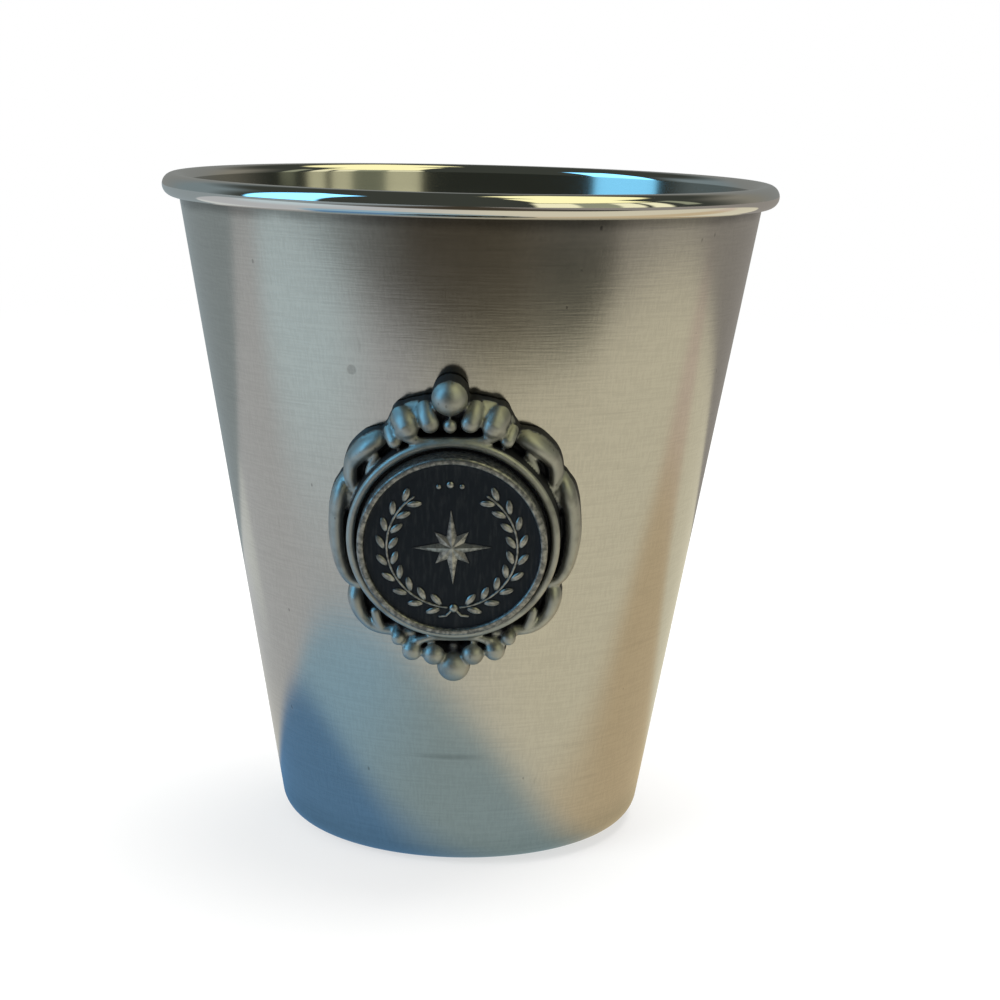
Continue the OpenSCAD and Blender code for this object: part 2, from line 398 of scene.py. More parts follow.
def turned_mesh(name, profile, segments):
    """Closed solid turned about Z from radius and height points, the first and last of them on the axis."""
    inner = profile[1:-1]
    angles = np.linspace(0, 2 * math.pi, segments, endpoint=False)
    verts = [(r * math.cos(a), r * math.sin(a), z) for r, z in inner for a in angles]
    first_pole = len(verts)
    verts += [(0, 0, profile[0][1]), (0, 0, profile[-1][1])]
    end = first_pole - segments
    faces = []
    for j in range(segments):
        k = (j + 1) % segments
        for a in range(0, end, segments):
            faces.append((a + j, a + k, a + segments + k, a + segments + j))
        faces += [(first_pole, k, j), (first_pole + 1, end + j, end + k)]
    mesh = plain_mesh(name, verts, [], faces)
    tidy_normals(mesh)
    return mesh


def drop(obj):
    mesh = obj.data
    bpy.data.objects.remove(obj)
    bpy.data.meshes.remove(mesh)


def baked_mesh(obj):
    """The object's evaluated mesh, after which the object and its modifiers are removed."""
    graph = bpy.context.evaluated_depsgraph_get()
    mesh = bpy.data.meshes.new_from_object(obj.evaluated_get(graph), depsgraph=graph)
    obj.modifiers.clear()
    drop(obj)
    return mesh


def joined(name, meshes):
    shape = bmesh.new()
    for mesh in meshes:
        shape.from_mesh(mesh)
    return poured(name, shape)


def vertex_rows(mesh, name):
    """Each vertex's place or normal, as name says, one row a vertex."""
    flat = np.zeros(len(mesh.vertices) * 3)
    mesh.vertices.foreach_get(name, flat)
    return flat.reshape(-1, 3)


def set_attribute(mesh, name, values):
    layer = mesh.attributes.new(name, "FLOAT", "POINT")
    layer.data.foreach_set("value", np.asarray(values, dtype=np.float32))


def shade_smooth(mesh, sharp_degrees):
    mesh.shade_smooth()
    mesh.set_sharp_from_angle(angle=math.radians(sharp_degrees))


def finished(name, mesh, material, place):
    """Object of a mesh with its one material, moved to its place."""
    mesh.materials.clear()
    mesh.materials.append(material)
    mesh.transform(place)
    mesh.name = name
    return new_object(name, mesh)


# Node helpers

def plug(tree, node, links):
    """Sets a node's inputs, by name or place, from sockets or from plain values."""
    for key, value in links.items():
        socket = node.inputs[key]
        if isinstance(value, bpy.types.NodeSocket):
            tree.links.new(value, socket)
        else:
            socket.default_value = value


def put(tree, kind, links=None, **settings):
    made = tree.nodes.new(kind)
    for key, value in settings.items():
        setattr(made, key, value)
    plug(tree, made, links or {})
    return made


def first(tree, kind, links=None, **settings):
    """Adds a node and returns its first output."""
    return put(tree, kind, links, **settings).outputs[0]


def math_node(tree, operation, a, b=0.0):
    return first(tree, "ShaderNodeMath", {0: a, 1: b}, operation=operation)


def times(tree, a, b):
    return math_node(tree, "MULTIPLY", a, b)


def plus(tree, a, b):
    return math_node(tree, "ADD", a, b)


def minus(tree, a, b):
    return math_node(tree, "SUBTRACT", a, b)


def vector_math(tree, operation, a, b):
    return first(tree, "ShaderNodeVectorMath", {0: a, 1: b}, operation=operation)


def length(tree, vector):
    return put(tree, "ShaderNodeVectorMath", {0: vector}, operation="LENGTH").outputs["Value"]


def xyz(tree, x=0.0, y=0.0, z=0.0):
    return first(tree, "ShaderNodeCombineXYZ", {0: x, 1: y, 2: z})


def parts(tree, vector):
    return put(tree, "ShaderNodeSeparateXYZ", {0: vector}).outputs


def ramp(tree, value, low, high, start=0.0, end=1.0):
    links = {"Value": value, "From Min": low, "From Max": high, "To Min": start, "To Max": end}
    return first(tree, "ShaderNodeMapRange", links, interpolation_type="SMOOTHSTEP")


# Geometry node trees

def add_numbers(tree, numbers):
    for label, value in numbers.items():
        kind = "NodeSocketInt" if isinstance(value, int) else "NodeSocketFloat"
        tree.interface.new_socket(label, in_out="INPUT", socket_type=kind).default_value = value


def new_tree(name, numbers):
    tree = bpy.data.node_groups.new(name, "GeometryNodeTree")
    tree.interface.new_socket("Geometry", in_out="INPUT", socket_type="NodeSocketGeometry")
    add_numbers(tree, numbers)
    tree.interface.new_socket("Material", in_out="INPUT", socket_type="NodeSocketMaterial")
    tree.interface.new_socket("Geometry", in_out="OUTPUT", socket_type="NodeSocketGeometry")
    return tree


def geo(tree, kind, links=None, **settings):
    return first(tree, "GeometryNode" + kind, links, **settings)


def named(tree, name):
    return geo(tree, "InputNamedAttribute", {"Name": name}, data_type="FLOAT")


def finish_tree(tree, geometry, material):
    real = geo(tree, "RealizeInstances", {"Geometry": geometry})
    dressed = geo(tree, "SetMaterial", {"Geometry": real, "Material": material})
    put(tree, "NodeGroupOutput", {"Geometry": dressed})


def run_tree(obj, tree, values):
    """Sets the tree's inputs by identifier and returns the smooth mesh that it makes of the object."""
    modifier = obj.modifiers.new(tree.name, "NODES")
    modifier.node_group = tree
    for item in tree.interface.items_tree:
        if item.in_out == "INPUT" and item.name in values:
            modifier[item.identifier] = values[item.name]
    mesh = baked_mesh(obj)
    mesh.shade_smooth()
    return mesh


def arched_sweep_tree():
    """Sweeps an arch with straight legs along each path, as wide and as tall as its half_width and rise say.

    A path's Z-up normal turns the profile's y axis down, so the arch is drawn towards -y.
    """
    tree = new_tree("arched_sweep", {"Arch Points": 10, "Leg": 3.0, "Wall Radius": 19.0, "Leg Sink": 0.9})
    given = put(tree, "NodeGroupInput").outputs
    paths = geo(tree, "MeshToCurve", {"Mesh": given["Geometry"]})
    paths = geo(tree, "SetCurveNormal", {"Curve": paths}, mode="Z_UP")
    left_foot = xyz(tree, -1.0, given["Leg"])
    right_foot = xyz(tree, 1.0, given["Leg"])
    corners = {"Point 1": left_foot, "Point 2": right_foot, "Point 3": (1, -1, 0), "Point 4": (-1, -1, 0)}
    box = geo(tree, "CurvePrimitiveQuadrilateral", corners, mode="POINTS")
    is_top = math_node(tree, "GREATER_THAN", geo(tree, "InputIndex"), 1.5)
    box = geo(tree, "StoreNamedAttribute", {"Geometry": box, "Name": "arch", "Value": is_top})
    links = {"Curve": box, "Count": given["Arch Points"], "Radius": times(tree, is_top, ARCH_ROUND)}
    profile = geo(tree, "FilletCurve", links, mode="POLY")
    links = {"Curve": paths, "Profile Curve": profile, "Scale": named(tree, "half_width"), "Fill Caps": True}
    solid = geo(tree, "CurveToMesh", links)
    spot = parts(tree, geo(tree, "InputPosition"))
    fall = math_node(tree, "DIVIDE", times(tree, spot[0], spot[0]), given["Wall Radius"])
    depth = minus(tree, times(tree, fall, -0.5), given["Leg Sink"])
    sunk = xyz(tree, spot[0], spot[1], depth)
    arch = named(tree, "arch")
    spring = named(tree, "spring")
    crown = times(tree, minus(tree, spot[2], spring), named(tree, "rise"))
    raised = xyz(tree, spot[0], spot[1], plus(tree, spring, crown))
    for operation, place in (("LESS_THAN", sunk), ("GREATER_THAN", raised)):
        chosen = math_node(tree, operation, arch, 0.5)
        solid = geo(tree, "SetPosition", {"Geometry": solid, "Selection": chosen, "Position": place})
    finish_tree(tree, solid, given["Material"])
    return tree


def domed_post_tree():
    """Stands a ball on a straight post at each point, as wide as the point's half_width says."""
    tree = new_tree("domed_posts", {"Segments": 32, "Post": 8.0})
    given = put(tree, "NodeGroupInput").outputs
    ball = geo(tree, "MeshUVSphere", {"Segments": given["Segments"], "Rings": 20})
    post = geo(tree, "MeshCylinder", {"Vertices": given["Segments"], "Depth": given["Post"]})
    low = xyz(tree, z=times(tree, given["Post"], -0.5))
    post = geo(tree, "Transform", {"Geometry": post, "Translation": low})
    both = tree.nodes.new("GeometryNodeJoinGeometry")
    for part in (ball, post):
        tree.links.new(part, both.inputs[0])
    links = {"Points": given["Geometry"], "Instance": both.outputs[0], "Scale": named(tree, "half_width")}
    finish_tree(tree, geo(tree, "InstanceOnPoints", links), given["Material"])
    return tree


def leaf_tree():
    """Puts a pointed leaf with a mid-rib at each point, turned by the point's turn in radians."""
    tree = new_tree("wreath_leaves", {"Length": 1.25, "Width": 0.46, "Rise": 0.2, "Rib": 0.35})
    given = put(tree, "NodeGroupInput").outputs
    seed = geo(tree, "MeshUVSphere", {"Segments": 20, "Rings": 14, "Radius": 1.0})
    laid = geo(tree, "Transform", {"Geometry": seed, "Rotation": (math.pi / 2, 0, 0)})
    spot = parts(tree, geo(tree, "InputPosition"))
    taper = minus(tree, 1.0, times(tree, spot[1], spot[1]))
    taper = math_node(tree, "POWER", math_node(tree, "MAXIMUM", taper, 0.0), LEAF_TAPER)
    across_leaf = times(tree, times(tree, spot[0], taper), given["Width"])
    along_leaf = times(tree, spot[1], given["Length"])
    beside_rib = math_node(tree, "ABSOLUTE", spot[0])
    rib = times(tree, ramp(tree, beside_rib, *RIB_EDGE, 1.0, 0.0), given["Rib"])
    height = times(tree, spot[2], minus(tree, 1.0, rib))
    height = times(tree, times(tree, height, taper), given["Rise"])
    shaped = xyz(tree, times(tree, across_leaf, 0.5), times(tree, along_leaf, 0.5), height)
    leaf = geo(tree, "SetPosition", {"Geometry": laid, "Position": shaped})
    links = {"Points": given["Geometry"], "Instance": leaf, "Rotation": xyz(tree, z=named(tree, "turn"))}
    finish_tree(tree, geo(tree, "InstanceOnPoints", links), given["Material"])
    return tree


# Ornament runs

def key_point(key):
    """Place of a key in the emblem's frame, x to the right, y up, z out of the wall, then half width."""
    reach = RING_R * (1 + key[1] / 100)
    x = reach * math.sin(math.radians(key[0]))
    y = reach * math.cos(math.radians(key[0]))
    x += BASE_SKEW * min(y, 0)
    return np.array((x, y, key[3] - x * x / (2 * BOW_R), RING_R * key[2] / 100))


def spline(a, b, c, d, t):
    """Smooth curve from b to c that also heeds the points before and after them."""
    return (
        b + (c - a) * t / 2
        + (a - 2.5 * b + 2 * c - d / 2) * t * t
        + (1.5 * b - a / 2 - 1.5 * c + d / 2) * t * t * t
    )


def spine(keys):
    p = [key_point(k) for k in keys]
    p = p[:1] + p + p[-1:]
    spans = range(len(p) - 3)
    return [spline(*p[i:i + 4], j / RUN_STEPS) for i in spans for j in range(RUN_STEPS)] + p[-1:]


def nose(tip, before):
    """Points past one end of a run that close it with a round nose."""
    ahead = tip[:2] - before[:2]
    ahead = ahead / np.linalg.norm(ahead) * tip[3]
    points = []
    for a in np.radians(NOSE_ANGLES):
        spot = tip[:2] + ahead * math.sin(a)
        points.append(np.array((*spot, tip[2], tip[3] * math.cos(a))))
    return points


def nosed(run):
    return nose(run[0], run[1])[::-1] + run + nose(run[-1], run[-2])


def mirrored(keys):
    return [(-k[0], *k[1:]) for k in keys]


def across(keys):
    """Keys of a run that crosses the centre line, from the half that starts there."""
    return mirrored(keys[:0:-1]) + list(keys)


def path_object(name, runs):
    """Mesh of open paths with their half widths."""
    verts = [tuple(p[:3]) for run in runs for p in run]
    edges = []
    start = 0
    for run in runs:
        edges += [(i, i + 1) for i in range(start, start + len(run) - 1)]
        start += len(run)
    mesh = plain_mesh(name, verts, edges, [])
    set_attribute(mesh, "half_width", [p[3] for run in runs for p in run])
    return new_object(name, mesh)


def swept(name, runs, tree, values):
    """Mesh that the sweep tree makes along runs of points, each paired with its rise."""
    paths = path_object(name, [run for run, _ in runs])
    set_attribute(paths.data, "spring", vertex_rows(paths.data, "co")[:, 2])
    set_attribute(paths.data, "rise", [rise for run, rise in runs for _ in run])
    return run_tree(paths, tree, values)


def pocket_floor(keys):
    """Bowed plate behind the pockets, held inside the given keys."""
    shape = bmesh.new()
    for key in list(keys) + mirrored(keys):
        x, y, _, w = key_point(key)
        for a in np.linspace(0, 2 * math.pi, FLOOR_STEPS, endpoint=False):
            px = x + w / 2 * math.cos(a)
            py = y + w / 2 * math.sin(a)
            shape.verts.new((px, py, POCKET_H - px * px / (2 * BOW_R)))
            shape.verts.new((px, py, -LEG_SINK - px * px / (2 * wall_r(EMBLEM_Z))))
    made = bmesh.ops.convex_hull(shape, input=shape.verts)
    spare = list(set(made["geom_interior"] + made["geom_unused"]))
    bmesh.ops.delete(shape, geom=spare, context="VERTS")
    return poured("pocket_floor", shape)


def seat_ring_mesh():
    profile = [(0, -LEG_SINK), (RING_R + RING_W / 2, -LEG_SINK)]
    profile += arc((RING_R, SEAT_H + RING_RISE - RING_W / 2), RING_W / 2, 0, RING_SPAN, count=12)
    profile += [(SEAT_R, SEAT_H + RING_RISE / 2), (SEAT_R, SEAT_H), (0, SEAT_H)]
    return turned_mesh("seat_ring", profile, RING_SEGMENTS)


def emblem_matrix():
    return (
        Matrix.Translation((0, -wall_r(EMBLEM_Z), EMBLEM_Z))
        @ Matrix.Rotation(math.pi / 2 + LEAN, 4, "X")
        @ Matrix.Rotation(math.radians(EMBLEM_TURN), 4, "Z")
    )


# Shader helpers

def new_group(name, inputs, outputs):
    tree = bpy.data.node_groups.new(name, "ShaderNodeTree")
    add_numbers(tree, inputs)
    for label in outputs:
        tree.interface.new_socket(label, in_out="OUTPUT", socket_type="NodeSocketFloat")
    return tree


def use_group(tree, group, **values):
    return put(tree, "ShaderNodeGroup", values, node_tree=group).outputs


def object_coordinates(tree):
    return put(tree, "ShaderNodeTexCoord").outputs["Object"]


def noise(tree, vector, scale, detail):
    return first(tree, "ShaderNodeTexNoise", {"Vector": vector, "Scale": scale, "Detail": detail})


def opaque(colour):
    return (*colour, 1.0) if isinstance(colour, tuple) else colour


def mixed_colour(tree, factor, a, b, blend="MIX"):
    links = {0: factor, 6: opaque(a), 7: opaque(b)}
    return put(tree, "ShaderNodeMix", links, data_type="RGBA", blend_type=blend).outputs[2]


def attribute(tree, name):
    return put(tree, "ShaderNodeAttribute", attribute_name=name).outputs["Fac"]


def bump(tree, height, strength, depth):
    """Normal of a surface with a relief, its depth in millimetres."""
    return first(tree, "ShaderNodeBump", {"Strength": strength, "Distance": depth * MM, "Height": height})


def new_material(name):
    material = bpy.data.materials.new(name)
    material.use_nodes = True
    return material, material.node_tree, material.node_tree.nodes["Principled BSDF"]


# Shared surface effects

def brush_lines_group():
    """Fine lines left by brushing, round the Z axis and up it."""
    tree = new_group("brush_lines", {"Fine": 5200.0, "Long": 110.0}, ["Round", "Upright"])
    given = put(tree, "NodeGroupInput").outputs
    vector = object_coordinates(tree)
    fine = given["Fine"]
    long = given["Long"]
    lines = {}
    for label, scale in (("Round", (long, long, fine)), ("Upright", (fine, fine, long))):
        stretched = vector_math(tree, "MULTIPLY", vector, xyz(tree, *scale))
        lines[label] = noise(tree, stretched, 1.0, 3.0)
    put(tree, "NodeGroupOutput", lines)
    return tree


def specks_group():
    """Scattered small pits in a share of the cells of a loose grid, and a soft cloud for uneven finish."""
    inputs = {"Spacing": 700.0, "Size": 0.16, "Share": 0.1, "Cloud": 120.0}
    tree = new_group("specks", inputs, ["Specks", "Cloud"])
    given = put(tree, "NodeGroupInput").outputs
    vector = object_coordinates(tree)
    longer = vector_math(tree, "MULTIPLY", vector, SPECK_STRETCH)
    cells = put(tree, "ShaderNodeTexVoronoi", {"Vector": longer, "Scale": given["Spacing"]}).outputs
    draw = put(tree, "ShaderNodeSeparateColor", {0: cells["Color"]}).outputs
    reach = times(tree, given["Size"], plus(tree, draw[1], SPECK_LEAST))
    inside = math_node(tree, "LESS_THAN", cells["Distance"], reach)
    chosen = math_node(tree, "LESS_THAN", draw[0], given["Share"])
    cloud = noise(tree, vector, given["Cloud"], 3.0)
    put(tree, "NodeGroupOutput", {"Specks": times(tree, inside, chosen), "Cloud": cloud})
    return tree


def patina_and_shade_group():
    """Turns a raised-or-sunk value into a mask of bright rubbed metal against dark patina, which on the
    frame also holds painted shade, broken up by fine grain.
    """
    tree = new_group("patina_with_painted_shade", {"Raised": 0.5, "Grain": 2600.0, "Edge": 0.18}, ["Bright", "Grain"])
    given = put(tree, "NodeGroupInput").outputs
    grain = noise(tree, object_coordinates(tree), given["Grain"], 4.0)
    shaken = times(tree, minus(tree, grain, 0.5), given["Edge"])
    bright = ramp(tree, plus(tree, given["Raised"], shaken), *RUBBED)
    put(tree, "NodeGroupOutput", {"Bright": bright, "Grain": grain})
    return tree


BRUSH_LINES = brush_lines_group()
SPECKS = specks_group()
PATINA_AND_SHADE = patina_and_shade_group()


# Materials

def wall_mark(tree, vector, centre, scale, low, high):
    """Soft spot on the wall round a centre, stretched by a scale."""
    away = vector_math(tree, "SUBTRACT", vector, centre)
    away = vector_math(tree, "MULTIPLY", away, scale)
    return ramp(tree, length(tree, away), low * MM, high * MM, 1.0, 0.0)


def brushed_pewter():
    material, tree, shader = new_material("brushed_pewter")
    vector = object_coordinates(tree)
    height_up = parts(tree, vector)[2]
    polish = attribute(tree, "polish")
    satin = ramp(tree, polish, SATIN, POLISH_EDGE, 1.0, 0.0)
    lines = use_group(tree, BRUSH_LINES, Fine=6500.0, Long=320.0)
    long_lines = use_group(tree, BRUSH_LINES, Fine=2600.0, Long=60.0)
    share = ramp(tree, ramp(tree, height_up, *SPECKED_ZONE), 0.0, 1.0, *SPECK_SHARE)
    specks = use_group(tree, SPECKS, Spacing=900.0, Size=0.085, Share=share, Cloud=120.0)
    both = plus(tree, lines["Round"], lines["Upright"])
    scratch = ramp(tree, long_lines["Upright"], *SCRATCHED)
    sweep = ramp(tree, long_lines["Round"], *SWEPT)
    dent = wall_mark(tree, vector, DENT_AT, (1, 1, 1), *DENT_R)
    scuff = wall_mark(tree, vector, SCUFF_AT, SCUFF_STRETCH, *SCUFF_R)
    cloud = minus(tree, specks["Cloud"], 0.5)
    # Painted shade in a ragged band just under the rim bead
    under_bead_shade = ramp(tree, plus(tree, height_up, times(tree, cloud, UNDER_BEAD_SHADE_RAGGED)), *UNDER_BEAD_SHADE_ZONE)
    shade = times(tree, ramp(tree, both, *LINED), LINE_SHADE)
    marks = (
        (specks["Specks"], 0.4), (scratch, 0.10), (sweep, 0.06), (dent, 0.3), (scuff, 0.28), (under_bead_shade, 0.75),
    )
    for mask, weight in marks:
        shade = plus(tree, shade, times(tree, mask, weight))
    shade = math_node(tree, "MINIMUM", times(tree, shade, satin), 1.0)
    # The curl and the inside take the darker pewter: painted shade
    clean = mixed_colour(tree, ramp(tree, polish, 0.1, SMOOTH), PEWTER, SHADED_INSIDE)
    clean = mixed_colour(tree, ramp(tree, polish, POLISH_EDGE, MIRROR), clean, POLISHED)
    rough = ramp(tree, polish, SMOOTH, MIRROR, SATIN_ROUGH, MIRROR_ROUGH)
    uneven = times(tree, times(tree, cloud, ROUGH_SPREAD), satin)
    pits = times(tree, plus(tree, specks["Specks"], dent), PIT_DEPTH)
    height = times(tree, minus(tree, both, pits), satin)
    plug(tree, shader, {
        "Base Color": mixed_colour(tree, shade, clean, PEWTER_SHADE),
        "Roughness": plus(tree, rough, uneven),
        "Normal": bump(tree, height, 0.18, 0.012),
        "Metallic": 1.0,
        "Anisotropic": 0.55,
        "Anisotropic Rotation": 0.25,
        "Tangent": first(tree, "ShaderNodeTangent", direction_type="RADIAL", axis="Z"),
    })
    return material


def antiqued_casting():
    material, tree, shader = new_material("antiqued_casting")
    # Dark where the frame is sunk, low or faces aside: patina in the hollows and painted shade on the flanks
    patina = use_group(tree, PATINA_AND_SHADE, Raised=attribute(tree, "raised"), Grain=2600.0, Edge=0.3)
    specks = use_group(tree, SPECKS, Spacing=3600.0, Size=0.25, Share=0.08, Cloud=900.0)
    dull = ramp(tree, specks["Cloud"], 0.45, 0.75, 0.0, 0.3)
    dull = math_node(tree, "MAXIMUM", dull, times(tree, specks["Specks"], 0.35))
    bright = times(tree, patina["Bright"], minus(tree, 1.0, dull))
    plug(tree, shader, {
        "Base Color": mixed_colour(tree, bright, CAST_BLACK, CAST_BRIGHT),
        "Roughness": ramp(tree, bright, 0.0, 1.0, 0.62, 0.5),
        "Metallic": ramp(tree, bright, 0.0, 0.6, 0.4, 1.0),
        "Normal": bump(tree, patina["Grain"], 0.25, 0.02),
    })
    return material


def blackened_medal():
    material, tree, shader = new_material("blackened_medal")
    patina = use_group(tree, PATINA_AND_SHADE, Raised=attribute(tree, "raised"), Grain=3000.0, Edge=0.5)
    lines = use_group(tree, BRUSH_LINES, Fine=4200.0, Long=160.0)
    # Faint lighter upright lines on the black ground: brush lines that also stand as painted sheen
    streak = ramp(tree, lines["Upright"], 0.45, 0.8, 0.0, 0.035)
    mottled = ramp(tree, patina["Grain"], 0.38, 0.62, 0.6, 1.0)
    bright = math_node(tree, "MAXIMUM", times(tree, patina["Bright"], mottled), streak)
    plug(tree, shader, {
        "Base Color": mixed_colour(tree, bright, DISC_BLACK, DISC_BRIGHT),
        "Roughness": ramp(tree, bright, 0.0, 1.0, 0.5, 0.34),
        "Metallic": ramp(tree, bright, 0.0, 0.6, 0.8, 1.0),
        "Normal": bump(tree, plus(tree, patina["Grain"], lines["Upright"]), 0.2, 0.015),
    })
    return material


def cured_resin():
    material, tree, shader = new_material("cured_resin")
    cloud = use_group(tree, SPECKS, Spacing=1500.0, Size=0.18, Share=0.3, Cloud=300.0)["Cloud"]
    plug(tree, shader, {
        "Base Color": mixed_colour(tree, cloud, RESIN_DEEP, RESIN_PALE),
        "Roughness": ramp(tree, cloud, 0.3, 0.7, 0.22, 0.38),
    })
    return material


# Cup

def cup_profile():
    """Points round the sheet from the axis under the floor to the axis above it, with the finish of each."""
    lean = math.degrees(LEAN)
    start = 180 - lean
    end = start - 360 + math.degrees(math.acos((CURL_R - CURL_GAP) / BEAD_R))
    corner = (wall_r(CORNER_R) - CORNER_R / math.cos(LEAN), CORNER_R)
    panel_r = corner[0] - FOOT_W - PANEL_RISE
    shift = SHEET * math.tan(math.radians(PANEL_SLOPE / 2))
    under = [(0, PANEL_RISE), (panel_r * UNDER_RING, PANEL_RISE)]
    under += [(panel_r - BEND_FAR, PANEL_RISE), (panel_r + BEND_NEAR, PANEL_RISE - BEND_DEPTH)]
    under += [(panel_r + PANEL_RISE - BEND_NEAR, BEND_DEPTH), (panel_r + PANEL_RISE + BEND_FAR, 0)]
    outside = arc(corner, CORNER_R, -90, -lean, count=16)
    curl = arc(BEAD_AT, CURL_R, start, end, count=24)
    outside += between(outside[-1], curl[0], WALL_STEPS)
    bead = arc(BEAD_AT, BEAD_R, end, start, count=48)
    inside = arc(corner, CORNER_R - SHEET, -lean, -90, count=12)
    inner_wall = bead[-1:] + between(bead[-1], inside[0], WALL_STEPS)
    floor = [(panel_r + PANEL_RISE - shift, SHEET), (panel_r - shift, PANEL_RISE + SHEET)]
    floor += [(panel_r * FLOOR_RING, PANEL_RISE + SHEET), (0, PANEL_RISE + SHEET)]
    runs = (
        (under + outside, SATIN),
        (curl, SMOOTH),
        (bead[:-1], MIRROR),
        (inner_wall + inside + floor, SMOOTH),
    )
    points = [p for run, _ in runs for p in run]
    finish = [value for run, value in runs for _ in run]
    return points, finish


def make_cup(material):
    points, finish = cup_profile()
    mesh = turned_mesh("cup", points, CUP_SEGMENTS)
    rings = [value for value in finish[1:-1] for _ in range(CUP_SEGMENTS)]
    set_attribute(mesh, "polish", rings + [finish[0], finish[-1]])
    shade_smooth(mesh, CUP_SHARP)
    return finished("cup", mesh, material, TO_METRES)


# Emblem frame

def grid_cells(spots):
    cells = np.rint(spots / GRID_STEP).astype(int) + GRID_HALF
    return cells[:, 0], cells[:, 1]


def face_heights(local):
    """Highest point of the frame in each small square of the emblem's face, with the disc in its seat."""
    axis = np.arange(-GRID_HALF, GRID_HALF + 1) * GRID_STEP
    heights = np.full((len(axis), len(axis)), -LEG_SINK)
    np.maximum.at(heights, grid_cells(local[:, :2]), local[:, 2])
    heights[np.hypot(*np.meshgrid(axis, axis)) < DISC_R] = DISC_BACK + DISC_T
    return heights


def openness(local):
    """Share of the sky above the emblem's face that each vertex sees past what stands within reach of it."""
    heights = face_heights(local)
    seen = np.zeros(len(local))
    for a in np.linspace(0, 2 * math.pi, SKY_SECTORS, endpoint=False):
        horizon = np.zeros(len(local))
        for reach in np.linspace(GRID_STEP, OPEN_REACH, SKY_STEPS):
            spots = local[:, :2] + reach * np.array((math.cos(a), math.sin(a)))
            rise = heights[grid_cells(spots)] - local[:, 2] - GRID_SLACK
            horizon = np.maximum(horizon, rise / np.hypot(rise, reach))
        seen += 1 - horizon
    return seen / SKY_SECTORS


def frame_raised(mesh, place):
    """How open each vertex of the frame lies, how far out and how much it faces out, from 0 to 1; low values
    are painted dark, as patina in hollows and as painted shade on the flanks.
    """
    inverse = np.array(place.inverted())
    local = vertex_rows(mesh, "co") @ inverse[:3, :3].T + inverse[:3, 3]
    facing = vertex_rows(mesh, "normal") @ inverse[2, :3]
    lift = local[:, 2] + local[:, 0] ** 2 / (2 * BOW_R)
    by_openness = np.clip((openness(local) - OPEN_FROM) / OPEN_SPAN, 0, 1)
    # Low parts and parts that face aside are painted dark: painted shade on the flanks
    by_height = np.clip((lift - LIFT_FROM) / LIFT_SPAN, 0, 1)
    by_facing = np.clip(EDGE_ON + facing / FACING_SPAN, 0, 1)
    return by_openness * by_height * by_facing


def remeshed(mesh):
    """One skin round overlapping solids."""
    obj = new_object("remesh", mesh)
    skin = obj.modifiers.new("skin", "REMESH")
    skin.mode = "VOXEL"
    skin.voxel_size = SKIN_VOXEL
    skin.use_smooth_shade = True
    soft = obj.modifiers.new("soft", "SMOOTH")
    soft.factor = 0.5
    soft.iterations = SKIN_ROUNDS
    return baked_mesh(obj)


def cut_by_wall(mesh):
    """Takes the cup's wall and the bond film out of a mesh that stands on them."""
    over = BOND / math.cos(LEAN)
    profile = [(0, 0), (wall_r(0) + over, 0), (wall_r(CUP_H) + over, CUP_H), (0, CUP_H)]
    tool = new_object("wall_cone", turned_mesh("wall_cone", profile, CONE_SEGMENTS))
    obj = new_object("cut", mesh)
    cut = obj.modifiers.new("cut", "BOOLEAN")
    cut.operation = "DIFFERENCE"
    cut.solver = "EXACT"
    cut.object = tool
    made = baked_mesh(obj)
    drop(tool)
    return made


def make_frame(material, sweep_tree, post_tree):
    place = emblem_matrix()
    runs = [(nosed(spine(k)), rise) for keys, rise in PAIRED_RUNS for k in (keys, mirrored(keys))]
    runs += [(nosed(spine(across(keys))), ROUND_RISE) for keys in GARLANDS]
    values = {"Arch Points": 10, "Leg": 3.0, "Wall Radius": wall_r(EMBLEM_Z), "Leg Sink": LEG_SINK}
    scrolls = swept("scroll_paths", runs, sweep_tree, values | {"Material": material})
    posts = [BASE_BEAD, *mirrored([BASE_BEAD]), CREST_PEARL, BASE_PEARL, TOP_BALL, BOTTOM_BALL]
    points = path_object("bead_points", [[key_point(k)] for k in posts])
    beads = run_tree(points, post_tree, {"Segments": 32, "Post": 8.0, "Material": material})
    floors = [
        pocket_floor(SHOULDER_SCROLL + SIDE_SCROLL + LOWER_SCROLL),
        pocket_floor([CREST_BUD[0], CREST_BUD[-1], CREST_LOBE[-1], CREST_DROP[-1]]),
        pocket_floor([BASE_BUD[0], BASE_LOBE[0], BASE_BEAD]),
    ]
    solid = joined("overlapping_ornament", [scrolls, beads, seat_ring_mesh()] + floors)
    tidy_normals(solid)
    skin = remeshed(solid)
    skin.transform(place)
    skin = cut_by_wall(skin)
    set_attribute(skin, "raised", frame_raised(skin, place))
    skin.shade_smooth()
    return finished("emblem_casting", skin, material, TO_METRES)


# Emblem disc

def disc_body_mesh():
    lip_in = DISC_R - LIP_W
    ground = DISC_T - LIP_H
    profile = [(0, 0), (DISC_R - EDGE_BREAK, 0), (DISC_R, EDGE_BREAK)]
    profile += arc((DISC_R - LIP_OUT_R, DISC_T - LIP_OUT_R), LIP_OUT_R, 0, 90, count=6)
    profile += arc((lip_in + LIP_IN_R, DISC_T - LIP_IN_R), LIP_IN_R, 90, LIP_SPAN, count=5)
    profile += [(lip_in - r, ground + z) for r, z in LIP_FILLET]
    profile += [(r * lip_in, ground) for r in GROUND_RINGS]
    mesh = turned_mesh("disc_body", profile, DISC_SEGMENTS)
    shade_smooth(mesh, DISC_SHARP)
    mesh.transform(Matrix.Translation((0, 0, DISC_BACK)))
    return mesh


